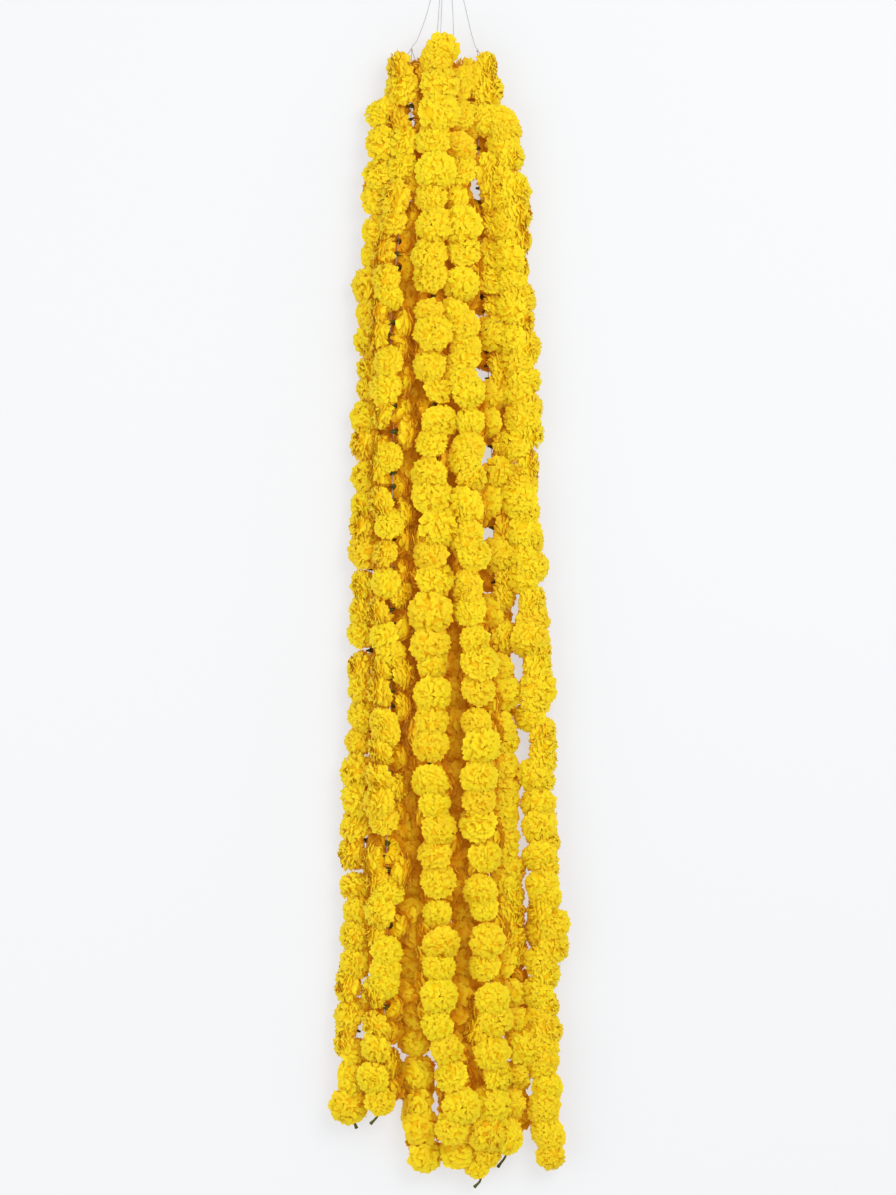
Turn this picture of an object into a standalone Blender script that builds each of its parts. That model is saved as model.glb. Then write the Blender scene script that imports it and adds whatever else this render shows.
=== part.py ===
"""A bundle of marigold strings, laid on a surface.

Eight strings of marigold heads lie side by side along Y. Each string is a thin thread run
through the green bases of its flowers, which face out from it on alternate sides. Five
strings lie on the surface, and three lie in the furrows between them. At their +Y ends the
threads run together into one knot. The cut stalk of the last flower shows at the other end
of four strings.

The origin is on the surface, under the middle of the bundle without its threads and knot.
+Z is up. Routes and sizes are in millimetres, and the meshes are in metres.
"""

import math

import bmesh
import bpy
import numpy as np
from mathutils import Matrix, Vector

MM = 0.001

FLOWER_PITCH = 17.5        # along a string, from one flower to the next
FLOWER_OFFSET = 5.0        # y of the flower nearest the origin
THREAD_TO_SIDE = 20.0      # half the width of a flower head
THREAD_TO_CROWN = 30.5     # from the thread to the top of a flower head
CORNERS = 8                # of a string's cross-section
GAP = 0.6                  # between neighbouring strings
PRESSED_FLAT_BELOW = 24.5  # a thread this low has its flowers pressed flat on the surface
NEARLY_DOWN = -0.9         # the z of a direction that meets the surface at once
CROWN_TAPER = 1.5          # how fast a flower narrows from its crown to its sides
END_NECK = 10.0            # from the last flower's ring to a narrower one
END_NECK_WIDTH = 0.74      # of the ring before it
END_TIP = 18.0             # from the last flower's ring to the tip of the string

THREAD_DIAMETER = 0.8
TUBE_POINTS = 26           # along a thread
STALK_RADIUS_AT_FLOWER = 1.3
STALK_RADIUS_AT_CUT = 2.5
STALK_CORNERS = 8
SEAT = 0.3                 # clearance between pieces that touch
TIE_KNOT_RADIUS = 1.6

# Each string from its knot end to its free end: x, y and z of its thread.
ROUTES = {
    1: [(-83, 647, 20), (-90, 482, 20), (-92, 350, 20), (-98, 200, 20), (-102, 15, 20),
        (-106, -130, 20), (-110, -270, 20), (-114, -400, 20), (-120, -520, 20),
        (-128, -625, 20)],
    2: [(-50, 700, 33), (-51, 630, 34), (-56, 550, 41), (-66, 480, 52), (-76, 367, 58),
        (-73, 270, 59), (-75, 100, 59), (-76, -110, 60), (-81, -300, 58), (-82, -480, 56),
        (-90, -570, 50), (-93, -625, 44)],
    3: [(-51, 490, 20), (-51, 270, 20), (-52, 0, 20), (-54, -240, 20), (-49, -400, 20),
        (-46, -520, 20), (-36, -610, 20), (-34, -695, 20)],
    4: [(-13, 717, 44), (-18, 635, 52), (-19, 530, 60), (-22, 400, 62), (-20, 270, 62),
        (-25, 15, 62), (-28, -60, 62), (-20, -240, 62), (-14, -305, 61), (-14, -450, 60),
        (-16, -520, 60), (-6, -552, 59), (6, -590, 58), (10, -632, 55), (4, -664, 52)],
    5: [(-2, 577, 20), (1, 430, 20), (4, 200, 20), (6, 0, 20), (9, -200, 20),
        (20, -330, 20), (22, -480, 20), (15, -600, 20), (12, -700, 20)],
    6: [(10, 682, 26), (12, 600, 40), (13, 460, 56), (16, 330, 60), (22, 180, 60),
        (25, 60, 60), (34, -110, 60), (37, -280, 60), (46, -370, 58), (51, -490, 54),
        (50, -590, 40), (38, -717, 22)],
    7: [(35, 700, 21), (36, 600, 22), (43, 470, 22), (48, 330, 22), (54, 180, 22),
        (58, 15, 22), (62, -130, 22), (66, -270, 22), (67, -400, 22), (78, -500, 21),
        (90, -565, 20), (82, -613, 20), (72, -682, 20)],
    8: [(60, 630, 20), (68, 570, 20), (77, 430, 20), (80, 370, 20), (87, 300, 20),
        (89, 180, 20), (97, 0, 20), (107, -160, 20), (111, -265, 20), (117, -345, 20),
        (130, -397, 20), (114, -460, 20), (116, -550, 20), (122, -600, 20),
        (128, -695, 20)],
}

# The way every second flower of a string faces, at places along y: degrees about Y, where 0
# is +X and 90 is up. The flowers between them face the other way.
TURNS = {
    1: [(-640, 100), (-580, 172), (450, 172), (600, 130)],
    2: [(-700, 158), (550, 158), (700, 120)],
    3: [(-700, 90), (-600, 90), (450, 60)],
    4: [(-700, 90), (700, 95)],
    5: [(-700, 90), (-600, 130), (600, 60)],
    6: [(-720, 60), (-600, 60), (-450, 85), (700, 95)],
    7: [(-700, 95), (300, 85), (450, 30), (700, 10)],
    8: [(-700, 90), (-500, 75), (700, 100)],
}

# The knot in the threads, and its half sizes.
KNOT = Vector((-6.0, 884.0, 3.8))
KNOT_SIZE = Vector((5.5, 7.0, 3.6))
LOOP_LENGTH, LOOP_WIDTH, LOOP_POINTS = 34.0, 16.0, 12
LOOP_FALL = 3              # how soon the loop drops from its knot to the surface
LAID_THREAD_Z = 0.5

# Threads from a string's tip to the knot: the points between, and x at the knot.
HANGING_THREADS = {
    2: ([(-44, 737, 20), (-38, 753, 6), (-33, 768, 1), (-28, 785, 0.5), (-18, 832, 0.5)],
        -9.2),
    4: ([(-12.8, 746, 24), (-12, 762, 6), (-11.3, 783, 0.6), (-9, 832, 0.5)], -7.6),
    5: ([(-10, 615, 1), (-17, 660, 0.5), (-20, 715, 0.5), (-17.5, 745, 0.5),
         (-14.7, 783, 0.5), (-11, 832, 0.5)], -8.4),
    6: ([(8, 716, 10), (5, 740, 1.5), (3, 783, 0.5), (-1, 832, 0.5)], -5.2),
    7: ([(33, 731, 10), (28, 748, 1.5), (19.8, 783, 0.5), (8, 832, 0.5)], -2.8),
}

# Threads of the strings that start further back, from their tips to a tie knot.
LINK_THREADS = {
    1: [(-83, 678, 11), (-79, 686, 2), (-74, 698, 0.5), (-66, 711, 1), (-56, 721, 12)],
    3: [(-51, 522, 10), (-48, 534, 1), (-43, 560, 0.5), (-40, 620, 0.5), (-40, 680, 0.5),
        (-44, 711, 1.5), (-48, 722, 14)],
    8: [(60, 660, 4), (58, 675, 0.6), (55, 700, 0.5), (46, 713, 2.5)],
}

# A thin dry stalk caught on top of the flowers.
DRY_STALK = [(39, 359, 46.0), (47, 365, 47.6), (55, 371, 47.8), (65, 375, 46.2)]
DRY_STALK_DIAMETER = 1.4

# Tie knots sit on the tips of these strings, and their link threads end at them.
TIE_KNOTS = {"left_tie_knot": 2, "right_tie_knot": 7}
TIED_AT = {1: 2, 3: 2, 8: 7}

# Cut stalks at the free ends, from the tip of a string to the cut.
STALKS = {1: (6, -14, -5), 2: (-9, -12, -8), 6: (-7, -9, -6), 7: (-11, -12, -8)}


def clear_scene():
    for thing in list(bpy.data.objects):
        bpy.data.objects.remove(thing)


def material(name, colour, roughness):
    """A plain finish, with no metal in it."""
    made = bpy.data.materials.new(name)
    made.use_nodes = True
    shader = made.node_tree.nodes["Principled BSDF"]
    shader.inputs["Base Color"].default_value = (*colour, 1)
    shader.inputs["Roughness"].default_value = roughness
    return made


def add_object(name, data, finish):
    thing = bpy.data.objects.new(name, data)
    bpy.context.scene.collection.objects.link(thing)
    data.materials.append(finish)
    return thing


def add_bmesh(name, shape, finish):
    mesh = bpy.data.meshes.new(name)
    bmesh.ops.recalc_face_normals(shape, faces=shape.faces)
    bmesh.ops.scale(shape, vec=(MM, MM, MM), verts=shape.verts)
    shape.to_mesh(mesh)
    shape.free()
    mesh.shade_smooth()
    return add_object(name, mesh, finish)


def smooth_through(knots, values, at):
    """A curve through the values, which has no corners: cubic from each knot to the next."""
    slopes = np.gradient(values, knots, axis=0)
    at = np.clip(at, knots[0], knots[-1])
    span = np.clip(np.searchsorted(knots, at) - 1, 0, len(knots) - 2)
    width = knots[span + 1] - knots[span]
    t = ((at - knots[span]) / width)[:, None]
    width = width[:, None]
    return (
        (2 * t**3 - 3 * t**2 + 1) * values[span]
        + (t**3 - 2 * t**2 + t) * width * slopes[span]
        + (3 * t**2 - 2 * t**3) * values[span + 1]
        + (t**3 - t**2) * width * slopes[span + 1]
    )


def thread_at(number, y):
    """x and z of a string's thread where it passes y, or at its end if it stops short."""
    route = np.array(ROUTES[number][::-1], float)
    return smooth_through(route[:, 1], route[:, [0, 2]], np.array([y], float))[0]


def flower_y(flower):
    """Flowers are counted along Y from the origin, so that those of all strings line up."""
    return flower * FLOWER_PITCH + FLOWER_OFFSET


def flower_numbers(number):
    """The last flower of a string, at its free end, and the first, at its knot end."""
    ends = (ROUTES[number][-1][1], ROUTES[number][0][1])
    return [round((y - FLOWER_OFFSET) / FLOWER_PITCH) for y in ends]


def string_tips(number):
    """The free end of a string, and its knot end, which its thread leaves."""
    tips = []
    for flower, reach in zip(flower_numbers(number), (-END_TIP, END_TIP)):
        x, z = thread_at(number, flower_y(flower))
        tips.append(Vector((x, flower_y(flower) + reach, z)))
    return tips


def strings_beside(number, y):
    """Thread centres of the other strings that reach y."""
    beside = []
    for other in ROUTES:
        last, first = flower_numbers(other)
        reach = FLOWER_PITCH + END_TIP
        if other != number and flower_y(last) - reach < y < flower_y(first) + reach:
            beside.append(thread_at(other, y))
    return beside


def cross_section(number, y, flower, width=1.0):
    """Corners of a string where it passes y.

    The string is widest the way its flower faces. It stops short of the planes midway to the
    strings beside it, and on the surface it is pressed flat.
    """
    centre = thread_at(number, y)
    facing = math.radians(np.interp(y, *zip(*TURNS[number])) + 180 * (flower % 2))
    corners = []
    for corner in range(CORNERS):
        angle = 2 * math.pi * (corner + 0.5) / CORNERS
        outward = np.array((math.cos(angle), math.sin(angle)))
        crown = max(0.0, math.cos(angle - facing)) ** CROWN_TAPER
        reach = width * (THREAD_TO_SIDE + crown * (THREAD_TO_CROWN - THREAD_TO_SIDE))
        to_surface = centre[1] / -outward[1] if outward[1] < 0 else math.inf
        if width == 1.0 and centre[1] < PRESSED_FLAT_BELOW and outward[1] < NEARLY_DOWN:
            reach = to_surface
        reach = min(reach, to_surface)
        for neighbour in strings_beside(number, y):
            across = neighbour - centre
            distance = np.linalg.norm(across)
            towards = outward @ across / distance
            if towards > 0:
                reach = min(reach, (distance - GAP) / 2 / towards)
        corners.append(centre + reach * outward)
    return corners


def string_of_blossoms(number, finish):
    """One string's flowers, joined as they press on each other: a ring for each flower."""
    last, first = flower_numbers(number)
    rings = [(flower_y(f), f, 1.0) for f in range(last, first + 1)]
    rings.insert(0, (flower_y(last) - END_NECK, last, END_NECK_WIDTH))
    rings.append((flower_y(first) + END_NECK, first, END_NECK_WIDTH))

    shape = bmesh.new()
    loops = []
    for y, flower, width in rings:
        corners = cross_section(number, y, flower, width)
        loops.append([shape.verts.new((x, y, z)) for x, z in corners])
    for near, far in zip(loops, loops[1:]):
        for a in range(CORNERS):
            b = (a + 1) % CORNERS
            shape.faces.new((near[a], near[b], far[b], far[a]))
    for loop, tip in zip((loops[0], loops[-1]), string_tips(number)):
        point = shape.verts.new(tip)
        for a in range(CORNERS):
            shape.faces.new((loop[a], loop[(a + 1) % CORNERS], point))
    add_bmesh(f"string_{number}_blossoms", shape, finish)


def tube(name, points, finish, diameter=THREAD_DIAMETER, closed=False):
    """A round tube along a smooth curve through the points, nowhere below the surface."""
    points = np.array([tuple(point) for point in points], float)
    if closed:
        points = np.vstack([points, points[:1]])
    lengths = np.linalg.norm(np.diff(points, axis=0), axis=1)
    knots = np.concatenate([[0], np.cumsum(lengths)])
    at = np.linspace(0, knots[-1], TUBE_POINTS)
    path = smooth_through(knots, points, at)
    path[:, 2] = np.maximum(path[:, 2], LAID_THREAD_Z)
    if closed:
        path = path[:-1]
    curve = bpy.data.curves.new(name, "CURVE")
    curve.dimensions = "3D"
    curve.bevel_depth = diameter / 2 * MM
    curve.bevel_resolution = 2
    curve.use_fill_caps = not closed
    spline = curve.splines.new("POLY")
    spline.points.add(len(path) - 1)
    for point, place in zip(spline.points, path):
        point.co = (*(place * MM), 1)
    spline.use_cyclic_u = closed
    return add_object(name, curve, finish)


def bead(name, centre, half_sizes, finish):
    """A small knot pulled tight."""
    shape = bmesh.new()
    bmesh.ops.create_icosphere(shape, subdivisions=2, radius=1)
    place = Matrix.Translation(centre) @ Matrix.Diagonal((*half_sizes, 1))
    bmesh.ops.transform(shape, matrix=place, verts=shape.verts)
    return add_bmesh(name, shape, finish)


def tie_knot_centre(number):
    return string_tips(number)[1] + Vector((0, SEAT + TIE_KNOT_RADIUS, 0))


def thread_start(number):
    """Where the thread of a string begins: past its tip, and past a tie knot if it has one."""
    if number in TIE_KNOTS.values():
        return tie_knot_centre(number) + Vector((0, TIE_KNOT_RADIUS + 2 * SEAT, 0))
    return string_tips(number)[1] + Vector((0, 2 * SEAT, 0))


def hanging_thread(number, finish):
    between, x = HANGING_THREADS[number]
    aside = (x - KNOT.x) / KNOT_SIZE.x
    face = KNOT.y - KNOT_SIZE.y * math.sqrt(1 - aside**2) - SEAT
    end = (x, face, KNOT.z)
    tube(f"string_{number}_thread", [thread_start(number), *between, end], finish)


def link_thread(number, finish):
    """It ends under its tie knot, and two that end at one knot lie side by side."""
    between = LINK_THREADS[number]
    aside = -THREAD_DIAMETER if number == 1 else THREAD_DIAMETER
    drop = Vector((aside, 0, -TIE_KNOT_RADIUS - SEAT))
    end = tie_knot_centre(TIED_AT[number]) + drop
    tube(f"string_{number}_thread", [thread_start(number), *between, end], finish)


def hanging_loop(finish):
    """The loop that the bundle hangs by, in the thread past the knot."""
    start = KNOT.y + KNOT_SIZE.y + SEAT + THREAD_DIAMETER / 2
    points = []
    for turn in np.linspace(0, 2 * math.pi, LOOP_POINTS, endpoint=False):
        x = KNOT.x + LOOP_WIDTH / 2 * math.sin(turn)
        y = start + LOOP_LENGTH / 2 * (1 - math.cos(turn))
        rise = (0.5 + 0.5 * math.cos(turn)) ** LOOP_FALL
        points.append((x, y, LAID_THREAD_Z + rise * (KNOT.z - LAID_THREAD_Z)))
    tube("hanging_loop", points, finish, closed=True)


def cut_stalk(number, finish):
    """A short green stalk, a little thicker where it is cut."""
    along = Vector(STALKS[number])
    free_tip = string_tips(number)[0]
    start = free_tip + along.normalized() * 3 * SEAT
    end = free_tip + along
    shape = bmesh.new()
    bmesh.ops.create_cone(
        shape,
        cap_ends=True,
        segments=STALK_CORNERS,
        radius1=STALK_RADIUS_AT_FLOWER,
        radius2=STALK_RADIUS_AT_CUT,
        depth=(end - start).length,
    )
    turn = along.to_track_quat("Z", "Y").to_matrix().to_4x4()
    place = Matrix.Translation((start + end) / 2) @ turn
    bmesh.ops.transform(shape, matrix=place, verts=shape.verts)
    add_bmesh(f"string_{number}_stalk", shape, finish)


def main():
    clear_scene()
    petals = material("marigold_petals", (0.90, 0.62, 0.01), 0.75)
    thread = material("cotton_thread", (0.62, 0.60, 0.66), 0.8)
    green = material("green_stalk", (0.10, 0.13, 0.04), 0.7)
    brown = material("dry_stalk", (0.20, 0.09, 0.02), 0.8)

    for number in ROUTES:
        string_of_blossoms(number, petals)
    for name, number in TIE_KNOTS.items():
        bead(name, tie_knot_centre(number), Vector((1, 1, 1)) * TIE_KNOT_RADIUS, thread)
    for number in HANGING_THREADS:
        hanging_thread(number, thread)
    for number in LINK_THREADS:
        link_thread(number, thread)
    bead("hanging_knot", KNOT, KNOT_SIZE, thread)
    hanging_loop(thread)
    tube("dry_stalk", DRY_STALK, brown, diameter=DRY_STALK_DIAMETER)
    for number in STALKS:
        cut_stalk(number, green)


main()
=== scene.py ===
"""The looks of a bundle of marigold strings, laid on a pale surface and seen from above.

Every flower head is a ball of ruffled petals round a core, on a green calyx that its thread
runs through. A few heads are grown from seeds, and each place on a string gets one of them,
turned and sized by chance. Lengths are in metres.
"""

import math

import bpy
import numpy as np
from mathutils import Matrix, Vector


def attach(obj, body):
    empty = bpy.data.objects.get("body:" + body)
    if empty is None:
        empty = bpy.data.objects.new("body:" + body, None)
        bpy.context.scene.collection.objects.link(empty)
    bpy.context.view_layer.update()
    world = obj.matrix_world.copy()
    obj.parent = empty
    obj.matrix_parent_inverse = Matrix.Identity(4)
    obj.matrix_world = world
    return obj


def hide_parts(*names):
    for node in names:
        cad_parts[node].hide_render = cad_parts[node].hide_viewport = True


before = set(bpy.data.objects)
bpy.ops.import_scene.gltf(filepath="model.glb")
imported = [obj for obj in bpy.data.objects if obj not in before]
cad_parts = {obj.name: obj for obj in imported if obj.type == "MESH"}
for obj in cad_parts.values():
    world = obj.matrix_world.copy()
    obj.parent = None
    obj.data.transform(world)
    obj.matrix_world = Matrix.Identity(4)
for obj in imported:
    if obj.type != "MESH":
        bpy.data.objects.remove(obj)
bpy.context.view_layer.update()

# The camera is straight above this point, and sees this length at this height.
VIEW_CENTRE = (-0.003, 0.0206)
VIEW_LENGTH = 1.530
VIEW_HEIGHT = 0.05
CAMERA_DISTANCE = 4.5

# The floor reaches this far each way, so no view sees its edge. It glows a little, in the
# sky's cool white.
FLOOR_HALF = 20.0
FLOOR_GLOW = 0.575
SKY_COLOUR = (0.97, 0.985, 1.0, 1)
SKY_STRENGTH = 0.74

# Flowers sit at every pitch along y, and a thread's stretch past its last flower is its tip.
FLOWER_PITCH = 0.0175
FLOWER_OFFSET = 0.005
STRING_TIP = 0.018
THREAD_DIAMETER = 0.0008

# Each string from its knot end to its free end: x, y and z of its thread, as in the CAD.
ROUTES = {
    1: [(-.083, .647, .020), (-.090, .482, .020), (-.092, .350, .020), (-.098, .200, .020),
        (-.102, .015, .020), (-.106, -.130, .020), (-.110, -.270, .020), (-.114, -.400, .020),
        (-.120, -.520, .020), (-.128, -.625, .020)],
    2: [(-.050, .700, .033), (-.051, .630, .034), (-.056, .550, .041), (-.066, .480, .052),
        (-.076, .367, .058), (-.073, .270, .059), (-.075, .100, .059), (-.076, -.110, .060),
        (-.081, -.300, .058), (-.082, -.480, .056), (-.090, -.570, .050), (-.093, -.625, .044)],
    3: [(-.051, .490, .020), (-.051, .270, .020), (-.052, 0, .020), (-.054, -.240, .020),
        (-.049, -.400, .020), (-.046, -.520, .020), (-.036, -.610, .020), (-.034, -.695, .020)],
    4: [(-.013, .717, .044), (-.018, .635, .052), (-.019, .530, .060), (-.022, .400, .062),
        (-.020, .270, .062), (-.025, .015, .062), (-.028, -.060, .062), (-.020, -.240, .062),
        (-.014, -.305, .061), (-.014, -.450, .060), (-.016, -.520, .060), (-.006, -.552, .059),
        (.006, -.590, .058), (.010, -.632, .055), (.004, -.664, .052)],
    5: [(-.002, .577, .020), (.001, .430, .020), (.004, .200, .020), (.006, 0, .020),
        (.009, -.200, .020), (.020, -.330, .020), (.022, -.480, .020), (.015, -.600, .020),
        (.012, -.700, .020)],
    6: [(.010, .682, .026), (.012, .600, .040), (.013, .460, .056), (.016, .330, .060),
        (.022, .180, .060), (.025, .060, .060), (.034, -.110, .060), (.037, -.280, .060),
        (.046, -.370, .058), (.051, -.490, .054), (.050, -.590, .040), (.038, -.717, .022)],
    7: [(.035, .700, .021), (.036, .600, .022), (.043, .470, .022), (.048, .330, .022),
        (.054, .180, .022), (.058, .015, .022), (.062, -.130, .022), (.066, -.270, .022),
        (.067, -.400, .022), (.078, -.500, .021), (.090, -.565, .020), (.082, -.613, .020),
        (.072, -.682, .020)],
    8: [(.060, .630, .020), (.068, .570, .020), (.077, .430, .020), (.080, .370, .020),
        (.087, .300, .020), (.089, .180, .020), (.097, 0, .020), (.107, -.160, .020),
        (.111, -.265, .020), (.117, -.345, .020), (.130, -.397, .020), (.114, -.460, .020),
        (.116, -.550, .020), (.122, -.600, .020), (.128, -.695, .020)],
}

# The way every second flower of a string faces, at places along y: degrees about Y, where 0
# is +X and 90 is up.
TURNS = {
    1: [(-.640, 100), (-.580, 154), (.350, 154), (.520, 110)],
    2: [(-.700, 158), (.550, 158), (.700, 120)],
    3: [(-.700, 90), (-.600, 90), (.450, 60)],
    4: [(-.700, 90), (.700, 95)],
    5: [(-.700, 90), (-.600, 130), (.600, 60)],
    6: [(-.720, 60), (-.600, 60), (-.450, 85), (.700, 95)],
    7: [(-.700, 95), (.300, 85), (.450, 45), (.600, 40), (.700, 18)],
    8: [(-.700, 90), (-.500, 105), (-.350, 105), (-.100, 88), (.700, 100)],
}

# The flowers between them face the other way, except on these strings.
TURNS_BETWEEN = {2: 327, 8: 18}

# A flower that faces sideways is lifted: degrees on each string.
LIFT = {1: 18, 2: 4, 3: 22, 4: 22, 5: 22, 6: 22, 7: 4, 8: 22}

# How far a flower strays from its facing by chance, and the most that it may, which is less on
# some strings: degrees.
STRAY = 27
MOST_STRAY = 45
LESS_STRAY = {1: 18, 8: 30}

# What chance gives a flower: how far it leans along its thread, in radians, its size, as the
# middle and the spread, how far it sits to its side, along its thread and up, and how much its
# colour is warmer or cooler. A calyx has a size between the last two.
LEAN = 0.28
SIZE = (1.02, 0.085)
ASIDE = (0.0020, 0.0028, 0.0)
WARMTH = 0.16
CALYX_SIZES = (0.75, 1.05)

# Runs of flowers that turn away from a clearing between two strings, or over a gap. Each has
# the counts of its first and last flower along y, its facing in degrees, and its size. The
# later one holds where two overlap.
RUNS = {
    1: [(-27, -27, 172, 0.95), (-31, -31, 172, 0.95), (-35, -33, 75, 0.95)],
    2: [(28, 28, 115, 0.90), (23, 23, 105, 0.86), (18, 18, 118, 0.90), (11, 11, 105, 0.86),
        (6, 6, 112, 0.90), (2, 2, 138, 0.93), (-2, -2, 142, 0.92), (-3, -3, 102, 0.86),
        (-9, -9, 118, 0.90), (-16, -16, 108, 0.88), (-21, -21, 102, 0.88),
        (-27, -25, 96, 0.90)],
    3: [(-34, -32, 110, 1.00), (-37, -36, 145, 0.95)],
    6: [(30, 30, 130, 0.90), (21, 22, 100, 0.98), (17, 18, 100, 0.98), (11, 12, 108, 0.98),
        (5, 6, 112, 0.98), (1, 2, 112, 0.95)],
    7: [(37, 37, 268, 0.95), (34, 34, 270, 0.95), (30, 31, 12, 1.00), (21, 22, 12, 0.93),
        (17, 18, 12, 0.93), (11, 12, 12, 0.88), (5, 6, 12, 0.93), (1, 2, 25, 0.90),
        (-20, -9, 75, 1.00), (-25, -21, 25, 1.02)],
    8: [(10, 11, 15, 0.90), (0, 1, 35, 0.98), (-5, -3, 38, 0.98), (-11, -9, 38, 0.97),
        (-12, -12, 80, 1.02), (-13, -13, 38, 0.97), (-14, -14, 80, 1.02),
        (-15, -15, 38, 0.97), (-16, -16, 80, 1.06), (-17, -17, 38, 0.97),
        (-18, -18, 80, 1.02), (-19, -19, 42, 0.95), (-20, -20, 85, 1.00),
        (-24, -22, 150, 1.02), (-23, -23, 75, 0.95), (-21, -21, 80, 0.95),
        (-39, -33, 92, 0.90)],
}

# The flowers at a string's ends face up and lean back over it, or out where this is negative:
# radians. At the knot end, some face another way: degrees.
END_TILT = 0.3
KNOT_END_TILTS = {4: 0.65, 7: 0.0}
FREE_END_TILTS = {1: -0.2, 3: -0.3, 7: -0.05, 8: -0.25}
KNOT_END_FACINGS = {1: 50, 2: 166, 7: 20}

# Heads of another size than chance gives them: string, count along y and size.
HEAD_SIZES = {
    (1, -36): 1.10, (2, -36): 0.88, (4, 36): 1.22, (4, 38): 1.12, (4, 40): 0.90,
    (4, 41): 0.98, (6, -41): 0.76, (6, -40): 0.80, (6, -39): 0.86, (7, 36): 1.10,
    (7, 38): 1.15, (7, 40): 0.90,
}

# The knot where the threads meet, with half its size, and the loop past it. The loop comes
# down from the knot to the surface the sooner, the larger its fall. A knot is wound from a
# strand of some radius, round and round. Threads stop short of what they meet by the seat.
KNOT = Vector((-.006, .884, .0038))
KNOT_SIZE = Vector((.0055, .0070, .0036))
KNOT_STRAND, KNOT_WINDS = .0010, 5
LOOP_LENGTH = .034
LOOP_WIDTH = .016
LOOP_FALL = 3
TIE_KNOT_RADIUS = .0016
TIE_STRAND, TIE_WINDS = .00045, 3
LAID_THREAD_Z = .0005
SEAT = .0003

# Threads from a string's tip to the knot: the points between, and x at the knot.
HANGING_THREADS = {
    2: ([(-.044, .737, .020), (-.038, .753, .006), (-.033, .768, .001), (-.028, .785, .0005),
         (-.018, .832, .0005)], -.0092),
    4: ([(-.0128, .746, .024), (-.012, .762, .006), (-.0113, .783, .0006),
         (-.009, .832, .0005)], -.0076),
    5: ([(-.010, .615, .001), (-.017, .660, .0005), (-.020, .715, .0005), (-.0175, .745, .0005),
         (-.0147, .783, .0005), (-.011, .832, .0005)], -.0084),
    6: ([(.008, .716, .010), (.005, .740, .0015), (.003, .783, .0005), (-.001, .832, .0005)],
        -.0052),
    7: ([(.033, .731, .010), (.028, .748, .0015), (.0198, .783, .0005), (.008, .832, .0005)],
        -.0028),
}

# Threads of the strings that start further back, from their tips to a tie knot.
LINK_THREADS = {
    1: [(-.083, .678, .011), (-.079, .686, .002), (-.074, .698, .0005), (-.066, .711, .001),
        (-.056, .721, .012)],
    3: [(-.051, .522, .010), (-.048, .534, .001), (-.043, .560, .0005), (-.040, .620, .0005),
        (-.040, .680, .0005), (-.044, .711, .0015), (-.048, .722, .014)],
    8: [(.060, .660, .004), (.058, .675, .0006), (.055, .700, .0005), (.046, .713, .0025)],
}

# A thin dry stalk caught on top of the flowers, and the twig that grows from one of the points
# along it.
DRY_STALK = [(.039, .359, .0460), (.047, .365, .0476), (.055, .371, .0478), (.065, .375, .0462)]
DRY_RADIUS = .0007
TWIG_FROM = 7
TWIG = [(0, 0, 0), (.003, .004, .0002), (.004, .009, -.0004)]
TWIG_RADIUS = .00035

# Tie knots sit on the tips of these strings, and their link threads end at them.
TIE_KNOTS = {"left_tie_knot": 2, "right_tie_knot": 7}
TIED_AT = {1: 2, 3: 2, 8: 7}

# Cut stalks at the free ends, from the tip of a string to the cut, and their radius from the
# flower on. The cut is a pale disc on the end.
STALKS = {1: (.007, -.021, -.005), 2: (-.009, -.012, -.008), 6: (-.007, -.009, -.006),
          7: (-.011, -.019, -.008)}
STALK_RADII = [(0, .0026), (.5, .0014), (.85, .0017), (1, .0024)]
CUT_RADIUS = .0021
CUT_HALF_DEPTH = .0002

# The distance between the points along each kind of path.
THREAD_STEP = .0025
STALK_STEP = .0022
DRY_STEP = .0015
TWIG_STEP = .0012

# A flower head stands on its thread and opens along its own +Z. It is a ball round its centre,
# and squarer the lower its roundness is under 1. Its petals spiral from the crown down to the
# last one's angle, and rise from a core this deep under its surface, with claws below them.
HEAD_RADIUS = 0.0215
HEAD_HALF_HEIGHT = 0.0150
HEAD_CENTRE = 0.0140
HEAD_ROUNDNESS = 0.85
LAST_PETAL = math.radians(120)
GOLDEN_ANGLE = math.pi * (3 - math.sqrt(5))
PETAL_HALF_WIDTH = 0.0054
PETAL_DEPTH = 0.0046
PETAL_LEAN = 0.0058
CORE_DEPTH = 0.0038
CLAWS = 20

# How far a head is shaded as one soft ball, near its crown.
SOFTNESS = 0.85

# Heads in plain view have more petals, and more points across each at its foot, its middle
# and its edge, than those inside the bundle: heads grown, petals and points across.
IN_VIEW = (12, 126, (2, 4, 6))
INSIDE = (6, 76, (2, 3, 4))

# All heads of these strings are inside the bundle, and so are heads that open further down
# than this: the sine of their facing.
INSIDE_STRINGS = (3, 5)
FACES_DOWN = -0.35

# Petals and calyxes that would reach the surface are pressed flat at this height.
PRESSED_Z = 0.0004

# The heads of a string are joined into pieces of this many.
HEADS_A_PIECE = 14

# Seeds of the heads and of where chance puts them.
HEAD_SEED = 11
FLOWER_SEED = 23

# How much of the sky is hidden from a petal by the rest of the bundle is found on cells of this
# size, in so many directions and at these distances. A petal gets painted shade, a more orange
# colour, from the first hidden share on, and all of it when that much more is hidden. It gets less
# of it below this height.
CELL = 0.004
DIRECTIONS = 8
LOOKS = (0.007, 0.014, 0.024, 0.040)
SHADE_FROM, SHADE_OVER = 0.52, 0.42
SHADE_ABOVE = 0.02


def chance(*key):
    """Random numbers, which are the same for the same key."""
    return np.random.default_rng(key)


# ---------------------------------------------------------------- materials

def new_material(name, settings):
    """A Principled material, with its node tree and its shader."""
    made = bpy.data.materials.new(name)
    made.use_nodes = True
    shader = made.node_tree.nodes["Principled BSDF"]
    for socket, value in settings.items():
        shader.inputs[socket].default_value = value
    return made, made.node_tree, shader


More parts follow.
